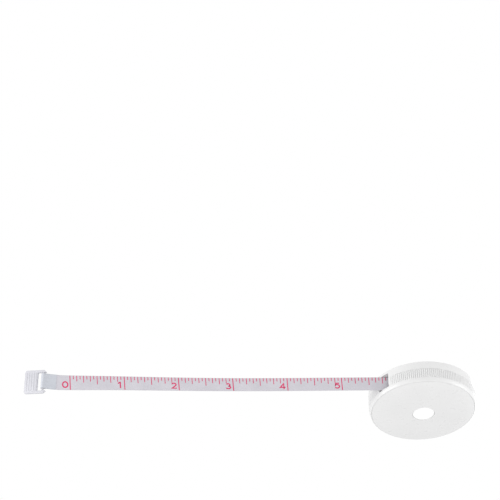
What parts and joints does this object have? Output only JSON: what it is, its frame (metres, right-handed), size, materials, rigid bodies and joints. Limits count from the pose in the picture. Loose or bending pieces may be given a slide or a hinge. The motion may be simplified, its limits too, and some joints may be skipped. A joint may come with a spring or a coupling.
{
  "type": "cloth tape measure",
  "caption": "Round pocket tape measure: a domed case with a ribbed edge and a centre push button, its cloth tape partly drawn out to a ribbed end tab.",
  "frame": {"origin": "centre of the round button's face, level with the flat ring that the case rests on", "axes": "+Z along the case's axis out of the domed front cover, -X along the drawn tape towards its end tab"},
  "size_m": [0.2124, 0.0498, 0.0159],
  "materials": {
    "case_shell": "glossy white moulded plastic",
    "button": "bright white moulded plastic",
    "end_tab": "satin off-white moulded plastic",
    "tape_cloth": "coated woven tape, matt",
    "inner_plastic": "plain moulded plastic",
    "spring_steel": "bright spring steel",
    "brake_rubber": "matt black rubber",
    "scale_ink": "crimson printing ink on the tape",
    "ornament_ink": "yellow printing ink on the front cover"
  },
  "bodies": {
    "case": {"front_cover": "case_shell", "case_band": "case_shell", "rear_cover": "case_shell", "spool_axle": "spring_steel", "axle_washer": "spring_steel", "axle_retainer": "spring_steel", "lever_pin": "spring_steel", "lever_spring": "spring_steel", "button_spring": "spring_steel", "tape_inner_run": "tape_cloth", "tape_free_run": "tape_cloth"},
    "spool": {"spool_drum": "inner_plastic", "spool_flange": "inner_plastic", "spring_cover": "inner_plastic", "mainspring": "spring_steel", "tape_anchor": "inner_plastic", "tape_coil": "tape_cloth"},
    "button": {"push_button": "button"},
    "brake": {"brake_lever": "inner_plastic", "brake_pad": "brake_rubber"},
    "tape_end": {"tape_end_loop": "tape_cloth"},
    "tab": {"end_tab": "end_tab"}
  },
  "joints": [
    {"name": "tape_pull", "type": "slide", "parent": "case", "child": "tape_end", "axis": [-1, 0, 0], "range_m": [-0.151, 0], "deforming": ["tape_free_run"]},
    {"name": "spool_turn", "type": "hinge", "parent": "case", "child": "spool", "pos_m": [0, 0, 0.00765], "axis": [0, 0, 1], "range_deg": [0, 650]},
    {"name": "button_press", "type": "slide", "parent": "case", "child": "button", "axis": [0, 0, 1], "range_m": [0, 0.0007], "stiffness_N_per_m": 800, "deforming": ["button_spring"]},
    {"name": "brake_rock", "type": "hinge", "parent": "case", "child": "brake", "pos_m": [0.011, 0, 0.00205], "axis": [0, 1, 0], "range_deg": [0, 8], "deforming": ["lever_spring"]},
    {"name": "tab_swing", "type": "hinge", "parent": "tape_end", "child": "tab", "pos_m": [-0.1787, -0.01525, 0.00874], "axis": [0.1159, -0.309, 0.944], "range_deg": [-37, 93]}
  ],
  "couplings": [
    {"joint": "spool_turn", "follows": "tape_pull", "rad_per_m": -72.727},
    {"joint": "brake_rock", "follows": "button_press", "rad_per_m": 192.31}
  ]
}
